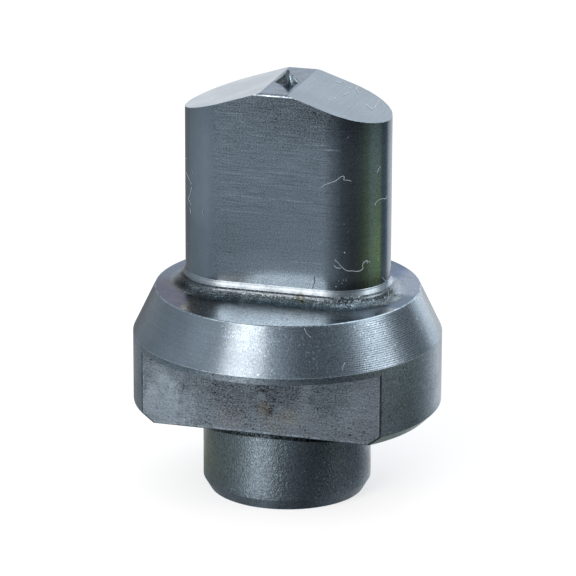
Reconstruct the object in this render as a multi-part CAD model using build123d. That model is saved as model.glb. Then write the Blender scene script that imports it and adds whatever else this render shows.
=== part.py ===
from build123d import *
import math
import os

# Punch for oblong holes, made as one piece from a bar of tool steel.
# It stands on its stub: the origin is the middle of the stub's foot and +Z points at the cutting end.
# X runs along the oblong head and Y across its flat sides. All lengths are in millimetres.

# Head
head_length = 21.6  # over the round ends
head_width = 11.1  # over the flat sides
head_height = 21.7  # from the collar's top face to the land
shear_angle = 18.3  # fall of each side of the roof, in degrees
land_width = 3.0  # flat left along the ridge of the roof
land_edge_break = 0.17  # bevel on the land's front and back edges
root_radius = 1.5  # fillet between head and collar

# Centring nib on the land
nib_height = 1.2
nib_margin = 0.22  # land left on each side of the nib's foot
nib_tip_radius = 0.08
nib_hollow_radius = 3.2  # hollow ground flank

# Collar
face_margin = 1.4  # flat top face left outside the root fillet at the head's ends
cone_width = 2.3  # from the edge of the top face out to the rim
cone_height = 4.8
rim_height = 0.7  # full round band left above the spanner flats
collar_height = 13.1
collar_chamfer = 1.0
flats_shoulder = 1.0  # underside left between the stub and each spanner flat
flat_edge_break = 0.15  # bevel round each spanner flat
turned_edge_radius = 0.12  # slight round on the edges left by turning

# Stub
stub_diameter = 17.5
stub_length = 8.7
stub_lead_depth = 0.7
stub_lead_length = 1.15

# Sizes and heights worked out from the driving dimensions
stub_radius = stub_diameter / 2
face_radius = head_length / 2 + root_radius + face_margin
collar_radius = face_radius + cone_width
flats_across = stub_diameter + 2 * flats_shoulder
nib_radius = land_width / 2 - nib_margin
face_z = stub_length + collar_height
cone_foot_z = face_z - cone_height
flats_top_z = cone_foot_z - rim_height
land_z = face_z + head_height


def make_turned_body():
    """Collar and stub, turned from the half section in the XZ plane."""
    outline = Polyline(
        (0, 0),
        (stub_radius - stub_lead_depth, 0),
        (stub_radius, stub_lead_length),
        (stub_radius, stub_length),
        (collar_radius - collar_chamfer, stub_length),
        (collar_radius, stub_length + collar_chamfer),
        (collar_radius, cone_foot_z),
        (face_radius, face_z),
        (0, face_z),
        close=True,
    )
    half_section = make_face(Plane.XZ * outline)
    cone_corners = [
        corner
        for corner in half_section.vertices()
        if corner.Z > flats_top_z and corner.X > stub_radius
    ]
    return revolve(fillet(cone_corners, turned_edge_radius), Axis.Z)


def make_flat_cutters():
    """Two blocks that mill the spanner flats and leave the rim and the stub whole."""
    block = Box(
        2 * collar_radius,
        collar_radius,
        flats_top_z - stub_length,
        align=(Align.CENTER, Align.MIN, Align.MAX),
    )
    back = Pos(0, flats_across / 2, flats_top_z) * block
    return back, mirror(back, Plane.XZ)


def make_head():
    """Oblong head with full-round ends, milled from a bar with a roof that falls from the land."""
    fall = (collar_radius - land_width / 2) * math.tan(math.radians(shear_angle))
    roof_outline = Polyline(
        (-collar_radius, face_z),
        (-collar_radius, land_z - fall),
        (-land_width / 2, land_z),
        (land_width / 2, land_z),
        (collar_radius, land_z - fall),
        (collar_radius, face_z),
        close=True,
    )
    roofed_bar = extrude(make_face(Plane.XZ * roof_outline), collar_radius, both=True)
    oblong_bar = Pos(0, 0, face_z) * extrude(SlotOverall(head_length, head_width), head_height)
    head = roofed_bar & oblong_bar
    land_ends = head.edges().filter_by(Axis.X).group_by(Axis.Z)[-1]
    return chamfer(land_ends, land_edge_break)


def make_nib():
    """Pointed centring nib with a hollow flank, turned from its half section."""
    foot = (nib_radius, land_z)
    shoulder = (nib_tip_radius, land_z + nib_height)
    flank = RadiusArc(foot, shoulder, nib_hollow_radius)
    rest = Polyline(shoulder, (0, land_z + nib_height), (0, land_z), foot)
    return revolve(make_face(Plane.XZ * (flank + rest)), Axis.Z)


def blend_root(body):
    """Fillet along the foot of the head, where it stands on the collar."""
    foot_edges = [
        edge
        for edge in body.edges().filter_by_position(Axis.Z, face_z, face_z)
        if edge.bounding_box().max.X < head_length / 2 + root_radius / 2
    ]
    return fillet(foot_edges, root_radius)


def break_flat_edges(body):
    """Small bevel along the outer edges of each spanner flat, from the rim round its lower end."""
    edges = [
        edge
        for side in (-1, 1)
        for edge in body.edges().filter_by_position(
            Axis.Y, side * flats_across / 2, side * flats_across / 2
        )
        if edge.center().Z < flats_top_z - flat_edge_break
    ]
    return chamfer(edges, flat_edge_break)


def make_punch():
    """The whole punch as one solid."""
    body = make_turned_body()
    for cutter in make_flat_cutters():
        body -= cutter
    body = break_flat_edges(body)
    body = blend_root(body + make_head())
    return body + make_nib()


punch = make_punch()
punch.label = "punch"
os.makedirs("parts", exist_ok=True)
export_step(punch, "parts/punch.step")
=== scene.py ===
"""Looks of an oblong hole punch: ground, turned and milled steel on a pale studio floor."""

import logging
import math
from collections.abc import Callable, Iterable
from dataclasses import dataclass, field
from enum import Enum
from functools import cached_property, reduce
from operator import mul

import bmesh
import bpy
from mathutils import Matrix, Vector


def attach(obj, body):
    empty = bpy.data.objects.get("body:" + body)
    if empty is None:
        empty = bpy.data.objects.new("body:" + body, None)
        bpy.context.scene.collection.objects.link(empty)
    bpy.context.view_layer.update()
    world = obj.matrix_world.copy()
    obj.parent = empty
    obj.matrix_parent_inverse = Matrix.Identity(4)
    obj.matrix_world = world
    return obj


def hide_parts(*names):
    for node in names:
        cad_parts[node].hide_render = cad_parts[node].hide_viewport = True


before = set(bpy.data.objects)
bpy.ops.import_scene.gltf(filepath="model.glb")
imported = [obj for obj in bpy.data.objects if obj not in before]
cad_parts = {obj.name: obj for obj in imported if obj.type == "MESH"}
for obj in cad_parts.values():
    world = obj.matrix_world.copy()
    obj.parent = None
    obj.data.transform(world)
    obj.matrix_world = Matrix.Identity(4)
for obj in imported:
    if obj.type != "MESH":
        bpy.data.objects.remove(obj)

LOG = logging.getLogger("punch")
MM = 0.001
NODE = "punch"
BODY = "root"
TOUCH = 0.002 * MM  # points nearer than this count as one place
LEVEL = 0.99  # a face whose normal points up by more than this counts as level
SLOPING = 0.9  # by more than this, as part of the roof; a flat's neighbours look along Y by less
UPRIGHT = 0.02  # a face whose normal points up or down by less than this counts as upright
SQUARE = 0.999  # a face that looks along an axis by more than this counts as square to it
SLANTED = 0.65  # one that looks along Y by more than this, yet isn't square, counts as a break
HOLLOW = 0.5  # a face of the root that looks up by more than this counts as its foot
MIX_INPUTS = (0, 6, 7)  # the share and the two colours among the inputs of a mix node
MIX_RESULT = 2  # the mixed colour among its outputs
CARD_Z = 0.05 * MM  # height of the card that lies on the floor
CARD_OUT = 300 * MM  # distance of the card that stands round it

Triple = tuple[float, float, float]
Colour = Triple
Point = tuple[float, float]  # two measures, such as distance from the axis and height
Mesh = bmesh.types.BMesh
Edge = bmesh.types.BMEdge
Object = bpy.types.Object
Socket = bpy.types.NodeSocket


class Zone(Enum):
    """Areas of the punch that different tools left. The value is the place of the material slot."""

    WALL = 0
    ROOF = 1
    LAND = 2
    NIB = 3
    ROOT = 4
    FACE = 5
    CONE = 6
    BARREL = 7
    FLAT = 8
    UNDERSIDE = 9
    STUB = 10
    FOOT = 11
    BREAK = 12
    EDGE = 13


class Lay(Enum):
    """Way that the lines of a cut surface run."""

    LEVEL = "level"
    RINGS = "rings"
    CROSSWAYS = "crossways"


def along(azimuth: float, elevation: float = 0) -> Vector:
    """Unit direction from the punch.

    Args:
        azimuth: degrees round +Z from -Y towards +X.
        elevation: degrees above the floor.

    Returns:
        The direction as a vector.
    """
    bearing, rise = math.radians(azimuth), math.radians(elevation)
    level = math.cos(rise)
    return Vector((math.sin(bearing) * level, -math.cos(bearing) * level, math.sin(rise)))


# Mesh building


def chain(bm: Mesh, points: Iterable[Vector]) -> list[Edge]:
    """Adds an open chain of edges through points."""
    verts = [bm.verts.new(point) for point in points]
    return [bm.edges.new(pair) for pair in zip(verts, verts[1:])]


def arc(centre: Point, radius: float, start: float, end: float, steps: int) -> list[Point]:
    """Points of a round corner, from one angle to another in degrees, out towards up."""
    angles = [math.radians(start + (end - start) * step / steps) for step in range(steps + 1)]
    return [(centre[0] + radius * math.cos(a), centre[1] + radius * math.sin(a)) for a in angles]


def turn(bm: Mesh, section: list[Point], steps: int) -> None:
    """Turns a half section all the way round the Z axis.

    Args:
        bm: mesh to add to.
        section: points of the half section.
        steps: number of segments round the axis.
    """
    edges = chain(bm, [Vector((radius, 0, height)) for radius, height in section])
    geom = list({vert for edge in edges for vert in edge.verts}) + edges
    bmesh.ops.spin(
        bm, geom=geom, cent=(0, 0, 0), axis=(0, 0, 1), angle=math.tau, steps=steps, use_merge=True
    )


def weld(bm: Mesh) -> None:
    """Joins vertices that lie in one place."""
    bmesh.ops.remove_doubles(bm, verts=bm.verts, dist=TOUCH)


def near(value: float, target: float) -> bool:
    """Whether two measures are the same within the touching distance."""
    return abs(value - target) < TOUCH


def edges_at(bm: Mesh, test: Callable[[Vector], bool]) -> list[Edge]:
    """Edges whose two ends both pass a test."""
    return [edge for edge in bm.edges if all(test(vert.co) for vert in edge.verts)]


def open_edges(bm: Mesh, test: Callable[[Vector], bool]) -> list[Edge]:
    """Edges at the rim of a hole whose two ends both pass a test."""
    return [edge for edge in edges_at(bm, test) if len(edge.link_faces) < 2]


def bevel(bm: Mesh, edges: list[Edge], width: float, segments: int = 1) -> None:
    """Bevels edges.

    Args:
        bm: mesh that holds them.
        edges: edges to bevel.
        width: distance that each side moves back.
        segments: number of faces across the bevel.
    """
    bmesh.ops.bevel(
        bm, geom=edges, offset=width, offset_type="OFFSET", affect="EDGES", segments=segments,
        profile=0.5, material=-1, clamp_overlap=True,
    )


def stand(name: str, bm: Mesh) -> Object:
    """Turns a finished mesh into an object of the scene.

    Args:
        name: name of the object and of its mesh.
        bm: the mesh, which is used up.

    Returns:
        The object.
    """
    mesh = bpy.data.meshes.new(name)
    bm.to_mesh(mesh)
    bm.free()
    made = bpy.data.objects.new(name, mesh)
    bpy.context.scene.collection.objects.link(made)
    return made


def weigh_normals(piece: Object) -> None:
    """Shades large faces flat and lets small ones turn between them.

    Args:
        piece: object whose mesh gets the shading.
    """
    weigher = piece.modifiers.new("shading", "WEIGHTED_NORMAL")
    weigher.keep_sharp = True
    weigher.weight = 100
    graph = bpy.context.evaluated_depsgraph_get()
    shaded = bpy.data.meshes.new_from_object(piece.evaluated_get(graph), depsgraph=graph)
    piece.modifiers.clear()
    piece.data = shaded


@dataclass(frozen=True)
class RootCut:
    """One pass of the cutter at the root of the head, as a strip of the section."""

    length: float
    start: float  # lean of the strip's upper end, in degrees from upright
    end: float  # lean of its lower end


@dataclass(frozen=True)
class Head:
    """Oblong head with a roof-shaped end, a land along its ridge and a rounded root."""

    length: float = 21.6 * MM
    width: float = 11.1 * MM
    height: float = 21.7 * MM
    shear_angle: float = 18.3
    land_width: float = 3.0 * MM
    land_edge_break: float = 0.22 * MM
    land_edge_steps: int = 3
    cutting_edge_break: float = 0.03 * MM
    root_height: float = 1.57 * MM
    root_cuts: tuple[RootCut, ...] = (
        RootCut(0.07 * MM, 24, 24),
        RootCut(0.1 * MM, 7, 7),
        RootCut(0.46 * MM, 17, 28),
        RootCut(0.24 * MM, 52, 52),
        RootCut(0.17 * MM, 15, 18),
    )
    root_step: float = 3  # turn of the section from one strip to the next, in degrees
    last_cut_start: float = 31
    last_cut_steps: int = 12
    end_steps: int = 96

    @property
    def end_radius(self) -> float:
        """Radius of the full-round ends."""
        return self.width / 2

    @property
    def end_centre(self) -> float:
        """Distance of each end's centre from the punch's axis."""
        return self.length / 2 - self.end_radius

    def root_section(self, foot_z: float) -> list[Point]:
        """Section of the root, from the end of the ground wall down to the collar's top face.

        Args:
            foot_z: height of the collar's top face.

        Returns:
            Points as distance from the oblong's middle line and height.
        """
        out, height = self.end_radius, foot_z + self.root_height
        points = [(out, height)]
        for cut in self.root_cuts:
            steps = max(1, round(abs(cut.end - cut.start) / self.root_step))
            for step in range(steps):
                lean = math.radians(cut.start + (cut.end - cut.start) * (step + 0.5) / steps)
                out += math.sin(lean) * cut.length / steps
                height -= math.cos(lean) * cut.length / steps
                points.append((out, height))
        lean = math.radians(self.last_cut_start)
        radius = (height - foot_z) / (1 - math.sin(lean))
        centre = (out + radius * math.cos(lean), foot_z + radius)
        return points + arc(centre, radius, 180 + self.last_cut_start, 270, self.last_cut_steps)[1:]

    def out_at(self, height: float, foot_z: float) -> float:
        """Distance of the surface from the oblong's middle line at a height.

        Args:
            height: height on the wall or on the root.
            foot_z: height of the collar's top face.

        Returns:
            The distance.
        """
        section = self.root_section(foot_z)
        for (upper_out, upper), (lower_out, lower) in zip(section, section[1:]):
            if lower <= height <= upper:
                return upper_out + (upper - height) / (upper - lower) * (lower_out - upper_out)
        return self.end_radius

    def build(self, bm: Mesh, foot_z: float) -> None:
        """Adds the wall, the root and the roof. The foot stays open, to be joined to the collar.

        Args:
            bm: mesh to add to.
            foot_z: height of the collar's top face.
        """
        land_z = foot_z + self.height
        self.sweep(bm, [(self.end_radius, land_z + self.land_width), *self.root_section(foot_z)])
        self.cut_roof(bm, land_z)
        self.close_slopes(bm, land_z)

    def sweep(self, bm: Mesh, section: list[Point]) -> None:
        """Carries a section along the front, round one end, along the back and round the other end.

        Args:
            bm: mesh to add to.
            section: points as distance from the oblong's middle line and height.
        """
        geom = chain(bm, [Vector((-self.end_centre, -out, height)) for out, height in section])
        geom += list({vert for edge in geom for vert in edge.verts})
        for side in (1, -1):
            edges = [item for item in geom if isinstance(item, Edge)]
            pushed = bmesh.ops.extrude_edge_only(bm, edges=edges)["geom"]
            geom = [item for item in pushed if not isinstance(item, bmesh.types.BMFace)]
            verts = [item for item in geom if isinstance(item, bmesh.types.BMVert)]
            bmesh.ops.translate(bm, verts=verts, vec=(2 * side * self.end_centre, 0, 0))
            geom = bmesh.ops.spin(
                bm, geom=geom, cent=(side * self.end_centre, 0, 0), axis=(0, 0, 1),
                angle=math.pi, steps=self.end_steps,
            )["geom_last"]
        weld(bm)

    def cut_roof(self, bm: Mesh, land_z: float) -> None:
        """Cuts the wall's top off along both slopes and the land.

        Args:
            bm: mesh that holds the head alone.
            land_z: height of the land.
        """
        fall = math.radians(self.shear_angle)
        for side in (-1, 0, 1):
            normal = (math.sin(fall) * side, 0, math.cos(fall)) if side else (0, 0, 1)
            bmesh.ops.bisect_plane(
                bm, geom=[*bm.verts, *bm.edges, *bm.faces], dist=TOUCH / 10,
                plane_co=(side * self.land_width / 2, 0, land_z), plane_no=normal, clear_outer=True,
            )

    def close_slopes(self, bm: Mesh, land_z: float) -> None:
        """Lays an edge along each side of the land and fills the slope beyond it.

        Args:
            bm: mesh that holds the head alone.
            land_z: height of the land.
        """
        half = self.land_width / 2
        beyond, low = half - TOUCH, land_z - self.height / 2
        for side in (-1, 1):
            ridge = bm.edges.new(
                [vert for vert in bm.verts if near(vert.co.x, side * half) and near(vert.co.z, land_z)]
            )
            rim = open_edges(bm, lambda co: co.x * side > beyond and co.z > low)
            bmesh.ops.contextual_create(bm, geom=list({*rim, ridge}))

    def break_edges(self, bm: Mesh, foot_z: float) -> None:
        """Bevels the ends of the land, and takes the burr off the cutting edges.

        Args:
            bm: mesh of the whole punch.
            foot_z: height of the collar's top face.
        """
        land_z, low = foot_z + self.height, foot_z + self.height / 2
        reach = self.land_width / 2 + TOUCH
        ends = [
            edge for edge in edges_at(
                bm,
                lambda co: near(abs(co.y), self.end_radius) and near(co.z, land_z) and abs(co.x) < reach,
            )
            if near(edge.verts[0].co.y, edge.verts[1].co.y)
        ]
        bevel(bm, ends, self.land_edge_break, self.land_edge_steps)
        cutting = []
        for edge in edges_at(bm, lambda co: co.z > low):
            rises = sorted(face.normal.z for face in edge.link_faces)
            if len(rises) == 2 and min(map(abs, rises)) < UPRIGHT / 2 and rises[1] > SLOPING:
                cutting.append(edge)
        bevel(bm, cutting, self.cutting_edge_break)


@dataclass(frozen=True)
class Nib:
    """Centring nib: a small point with a hollow flank in the middle of the land."""

    radius: float = 1.44 * MM
    height: float = 1.2 * MM
    tip_radius: float = 0.08 * MM
    hollow_radius: float = 3.2 * MM
    steps: int = 64
    flank_steps: int = 12

    def build(self, bm: Mesh, foot_z: float) -> None:
        """Adds the nib, open at its foot.

        Args:
            bm: mesh to add to.
            foot_z: height of the land.
        """
        foot, tip = Vector((self.radius, foot_z)), Vector((self.tip_radius, foot_z + self.height))
        chord = tip - foot
        outward = Vector((chord.y, -chord.x)).normalized()
        rise = math.sqrt(self.hollow_radius**2 - chord.length_squared / 4)
        centre = (foot + tip) / 2 + outward * rise
        start, end = (math.degrees(math.atan2(*(p - centre).yx)) % 360 for p in (foot, tip))
        flank = arc(tuple(centre), self.hollow_radius, start, end, self.flank_steps)
        turn(bm, [*flank, (0, tip.y)], self.steps)


@dataclass(frozen=True)
class Collar:
    """Coned collar with a flat top face, a thin rim, two spanner flats and a chamfered foot."""

    face_radius: float = 13.7 * MM
    radius: float = 16.0 * MM
    cone_height: float = 4.8 * MM
    rim_height: float = 0.7 * MM
    height: float = 13.1 * MM
    chamfer: float = 1.0 * MM
    flats_across: float = 19.5 * MM
    flat_edge_break: float = 0.14 * MM
    flat_corner_break: float = 0.36 * MM
    rim_edge_break: float = 0.09 * MM
    edge_radius: float = 0.12 * MM
    top_edge_radius: float = 0.17 * MM
    edge_steps: int = 6
    sliver: float = 0.02 * MM  # corners nearer than this to the cutter's path are drawn onto it

    @property
    def flats_drop(self) -> float:
        """Distance from the collar's top face down to the top of the flats."""
        return self.cone_height + self.rim_height

    @property
    def cone_lean(self) -> float:
        """Angle between the cone's side and the upright, in radians."""
        return math.atan2(self.radius - self.face_radius, self.cone_height)

    def section(self, foot_z: float) -> list[Point]:
        """Half section from the underside to the edge of the top face.

        Args:
            foot_z: height of the collar's underside.

        Returns:
            Points as distance from the axis and height.
        """
        top_z, lean = foot_z + self.height, math.degrees(self.cone_lean)
        return [
            (self.radius - self.chamfer, foot_z),
            (self.radius, foot_z + self.chamfer),
            (self.radius, top_z - self.flats_drop),
            *self.rounded((self.radius, top_z - self.cone_height), 0, lean, self.edge_radius),
            *self.rounded((self.face_radius, top_z), lean, 90, self.top_edge_radius),
        ]

    def rounded(self, corner: Point, before: float, after: float, radius: float) -> list[Point]:
        """Round that replaces a corner between two straight lines of the section.

        Args:
            corner: the sharp corner.
            before: way that the surface below the corner faces, in degrees above level.
            after: way that the surface above the corner faces.
            radius: radius of the round.

        Returns:
            Points of the round.
        """
        middle = math.radians((before + after) / 2)
        inward = radius / math.cos(math.radians((after - before) / 2))
        centre = (corner[0] - inward * math.cos(middle), corner[1] - inward * math.sin(middle))
        return arc(centre, radius, before, after, self.edge_steps)

    def mill_flats(self, bm: Mesh, foot_z: float) -> None:
        """Cuts both spanner flats below the rim and closes each flat and the ledge over it.

        Args:
            bm: mesh that holds the turned body.
            foot_z: height of the collar's underside.
        """
        half = self.flats_across / 2
        ledge_z = foot_z + self.height - self.flats_drop
        for side in (-1, 1):
            low = [face for face in bm.faces if face.calc_center_median().z < ledge_z]
            bmesh.ops.bisect_plane(
                bm, geom=list({item for face in low for item in (face, *face.edges, *face.verts)}),
                dist=self.sliver, use_snap_center=True,
                plane_co=(0, side * half, 0), plane_no=(0, side, 0),
            )
            middles = {face: face.calc_center_median() for face in bm.faces}
            cut = [face for face, co in middles.items() if co.z < ledge_z and co.y * side > half]
            bmesh.ops.delete(bm, geom=cut, context="FACES")
            lip = bm.edges.new([
                vert for vert in bm.verts
                if near(vert.co.z, ledge_z) and near(vert.co.y, side * half) and vert.is_boundary
            ])
            flat = open_edges(bm, lambda co: near(co.y, side * half))
            ledge = open_edges(bm, lambda co: near(co.z, ledge_z) and co.y * side > half - TOUCH)
            for rim in (flat, ledge):
                bmesh.ops.contextual_create(bm, geom=list({*rim, lip}))

    def break_edges(self, bm: Mesh, foot_z: float) -> None:
        """Bevels the edges of the flats, slanted ones first, and the lower edge of the rim over them.

        Args:
            bm: mesh of the whole punch.
            foot_z: height of the collar's underside.
        """
        half = self.flats_across / 2
        ledge_z = foot_z + self.height - self.flats_drop
        low_z, top_z = foot_z + TOUCH, foot_z + self.chamfer - TOUCH
        for size, test in (
            (self.flat_corner_break, lambda low, high: low_z < high < top_z + 2 * TOUCH),
            (self.flat_edge_break, lambda low, high: high < low_z),
            (self.flat_edge_break, lambda low, high: low > top_z and high - low > self.chamfer),
        ):
            bevel(bm, [
                edge for edge in edges_at(bm, lambda co: near(abs(co.y), half))
                if test(*sorted(vert.co.z for vert in edge.verts))
                and len(edge.link_faces) == 2
                and any(abs(face.normal.y) < SLOPING for face in edge.link_faces)
            ], size)
        clear = half + self.flat_edge_break / 2
        on_rim = edges_at(bm, lambda co: near(co.z, ledge_z) and near(co.xy.length, self.radius))
        rim = [edge for edge in on_rim if all(abs(vert.co.y) > clear for vert in edge.verts)]
        bevel(bm, rim, self.rim_edge_break)


@dataclass(frozen=True)
class Stub:
    """Plain round stub with a lead-in chamfer at its foot."""

    radius: float = 8.75 * MM
    length: float = 8.7 * MM
    lead_depth: float = 0.7 * MM
    lead_length: float = 1.15 * MM
    edge_break: float = 0.05 * MM

    def section(self) -> list[Point]:
        """Half section from the middle of the foot to the collar's underside.

        Returns:
            Points as distance from the axis and height.
        """
        return [
            (0, 0),
            (self.radius - self.lead_depth, 0),
            (self.radius - self.edge_break, self.lead_length - self.edge_break),
            (self.radius, self.lead_length + self.edge_break),
            (self.radius, self.length),
        ]


@dataclass
class Punch:
    """The whole punch as one closed steel mesh."""

    head: Head = field(default_factory=Head)
    nib: Nib = field(default_factory=Nib)
    collar: Collar = field(default_factory=Collar)
    stub: Stub = field(default_factory=Stub)
    turn_steps: int = 288
    sharp_angle: float = 11.0  # faces that meet at more than this keep a crisp edge between them

    @property
    def face_z(self) -> float:
        """Height of the collar's top face."""
        return self.stub.length + self.collar.height

    @property
    def land_z(self) -> float:
        """Height of the land."""
        return self.face_z + self.head.height

    def build(self) -> Object:
        """Builds the mesh and lets it stand for the frame's node.

        Returns:
            The finished piece.
        """
        bm = bmesh.new()
        self.head.build(bm, self.face_z)
        self.nib.build(bm, self.land_z)
        turn(bm, [*self.stub.section(), *self.collar.section(self.stub.length)], self.turn_steps)
        weld(bm)
        self.collar.mill_flats(bm, self.stub.length)
        for level in (self.land_z, self.face_z):
            rims = open_edges(bm, lambda co: near(co.z, level))
            bmesh.ops.triangle_fill(bm, edges=rims, use_beauty=True, normal=(0, 0, 1))
        bmesh.ops.recalc_face_normals(bm, faces=bm.faces)
        self.head.break_edges(bm, self.face_z)
        self.collar.break_edges(bm, self.stub.length)
        for face in bm.faces:
            face.smooth = True
            face.material_index = self.zone(face).value
        holes = [edge for edge in bm.edges if not edge.is_manifold]
        LOG.info("punch: %d faces, %d open edges", len(bm.faces), len(holes))
        piece = stand("punch_steel", bm)
        piece.data.set_sharp_from_angle(angle=math.radians(self.sharp_angle))
        weigh_normals(piece)
        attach(piece, BODY)
        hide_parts(NODE)
        return piece

    def zone(self, face: bmesh.types.BMFace) -> Zone:
        """Finds the area of the punch that a face belongs to.

        Args:
            face: face of the finished mesh.

        Returns:
            The area.
        """
        centre, facing = face.calc_center_median(), face.normal
        z, out, upright = centre.z, centre.xy.length, abs(facing.z) < UPRIGHT
        head, collar, stub, face_z = self.head, self.collar, self.stub, self.face_z
        on_root = face_z + TOUCH < z < face_z + head.root_height
        on_cone = near(facing.z * MM, math.sin(collar.cone_lean) * MM)
        under_rim = stub.length < z < face_z - collar.flats_drop - TOUCH
        on_flat = abs(facing.y) > SQUARE and near(abs(centre.y), collar.flats_across / 2)
        tests = (
            (Zone.NIB, z > self.land_z - TOUCH and out < self.nib.radius and facing.z < SQUARE),
            (Zone.NIB, z > self.land_z + TOUCH),
            (Zone.LAND, z > self.land_z - TOUCH and facing.z > LEVEL),
            (Zone.ROOF, z > face_z + head.height / 2 and SLOPING < facing.z < LEVEL),
            (Zone.WALL, z > face_z + head.root_height and upright),
            (Zone.FOOT, on_root and facing.z > HOLLOW),
            (Zone.ROOT, on_root),
            (Zone.FACE, near(z, face_z) and facing.z > LEVEL),
            (Zone.CONE, z > face_z - collar.cone_height and on_cone),
            (Zone.FLAT, z > stub.length and on_flat),
            (Zone.BARREL, z > stub.length and upright and near(out, collar.radius)),
            (Zone.BREAK, under_rim and SLANTED < abs(facing.y) < LEVEL),
            (Zone.UNDERSIDE, z > stub.length - TOUCH and abs(facing.z) > LEVEL),
            (Zone.STUB, z < stub.length),
        )
        return next((zone for zone, found in tests if found), Zone.EDGE)


class Seat(Enum):
    """Surfaces that lint clings to, and how its places are given on each."""

    WALL = "millimetres along the wall from the middle of its front, and height"
    CONE = "degrees round the axis, and height"
    ROOF = "place along the punch, and place across it"


# Threads as points in the two measures that their seat names. Specks have a radius in millimetres too.
Threads = dict[Seat, tuple[tuple[tuple[float, float], ...], ...]]
Specks = dict[Seat, tuple[tuple[float, float, float], ...]]

THREADS: Threads = {
    Seat.WALL: (
        (
            (5.1, 34.2), (5.3, 34.5), (5.8, 34.7), (6.2, 34.88), (6.6, 35.0), (7.0, 35.4), (7.28, 35.55),
            (7.45, 35.5), (7.46, 35.3), (7.36, 35.14), (7.55, 35.08), (7.9, 35.1), (8.15, 34.95),
        ),
        ((11.2, 35.4), (11.34, 35.65), (11.5, 35.9), (11.7, 35.95)),
        ((10.95, 32.05), (10.98, 32.3), (11.26, 32.42), (11.72, 32.53), (12.25, 32.45), (12.9, 32.3)),
        ((12.5, 32.33), (12.85, 32.4), (13.1, 32.6)),
        (
            (6.55, 26.75), (6.68, 26.56), (6.89, 26.4), (7.2, 26.0), (7.6, 25.6), (8.0, 25.45),
            (8.35, 25.48), (8.75, 25.34), (9.2, 25.36), (9.5, 25.52), (9.54, 25.73), (9.42, 25.9),
            (9.54, 26.1), (9.77, 26.33), (10.0, 26.36), (10.4, 26.1),
        ),
        ((9.95, 26.42), (10.02, 26.05)),
        ((6.5, 26.1), (6.69, 25.87), (6.89, 25.8), (7.2, 25.81)),
        ((12.2, 24.1), (12.6, 23.7), (13.05, 23.4), (13.5, 23.3)),
        (
            (13.5, 23.3), (13.1, 23.1), (12.75, 22.9), (12.75, 22.6), (12.4, 22.25), (12.15, 22.05),
            (11.8, 21.96),
        ),
        (
            (11.8, 21.96), (11.3, 21.88), (10.8, 21.86), (10.6, 21.88), (10.3, 21.87), (10.0, 21.9),
            (9.93, 22.03),
        ),
        ((6.78, 22.4), (6.9, 22.6), (7.05, 22.8)),
        ((-10.98, 33.74), (-10.43, 33.63), (-10.0, 33.21), (-9.42, 32.94)),
        (
            (-9.4, 32.6), (-9.65, 32.13), (-9.65, 31.81), (-10.15, 31.35), (-10.3, 31.1), (-9.8, 30.93),
            (-9.54, 30.7),
        ),
        ((-9.77, 30.28), (-9.8, 29.96), (-9.55, 29.75)),
        ((-7.7, 30.5), (-7.49, 30.05)),
    ),
    Seat.CONE: (
        ((23.4, 21.6), (23.8, 21.3), (24.6, 21.02), (25.9, 20.75)),
        ((38.4, 18.2), (37.2, 17.91), (36.8, 17.5)),
    ),
    Seat.ROOF: (
        ((5.86, 5.1), (5.95, 4.3), (6.2, 3.7), (6.5, 3.4)),
        (
            (7.8, 1.0), (8.1, 0.95), (8.5, 0.43), (8.76, 0.5), (8.79, 1.28), (8.67, 2.28), (8.62, 3.2),
            (8.6, 4.0),
        ),
        ((5.55, 0.95), (5.68, 1.6), (5.67, 2.45)),
        ((3.9, 3.85), (4.14, 4.03), (4.4, 4.04)),
        ((4.4, 4.84), (4.78, 4.2)),
    ),
}
HAIR: Threads = {Seat.WALL: (((4.5, 24.75), (4.42, 24.4), (4.5, 24.1), (4.35, 23.8), (4.25, 23.45)),)}
SPECKS: Specks = {
    Seat.WALL: (
        (7.54, 27.45, 0.07), (6.7, 23.84, 0.07), (7.46, 24.53, 0.045), (7.72, 24.52, 0.045),
        (7.31, 24.16, 0.045), (6.95, 24.43, 0.045), (11.24, 24.02, 0.03), (10.18, 25.25, 0.03),
        (11.51, 26.2, 0.045), (9.53, 26.37, 0.03), (7.88, 29.61, 0.03), (7.47, 30.47, 0.03),
        (6.84, 33.12, 0.03), (7.8, 39.56, 0.045), (-10.95, 35.24, 0.06), (-9.21, 34.22, 0.04),
        (-10.63, 30.58, 0.04), (-10.69, 26.21, 0.045), (-8.0, 25.64, 0.045), (-7.11, 26.04, 0.03),
    ),
    Seat.CONE: (
        (46.9, 20.87, 0.045), (31.5, 21.02, 0.045), (28.8, 20.24, 0.045), (26.3, 20.59, 0.03),
        (41.2, 21.11, 0.045),
    ),
    Seat.ROOF: (
        (5.15, -0.82, 0.06), (6.88, -1.5, 0.06), (8.36, -1.17, 0.04), (5.42, 3.82, 0.05), (7.08, 4.0, 0.05),
    ),
}


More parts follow.
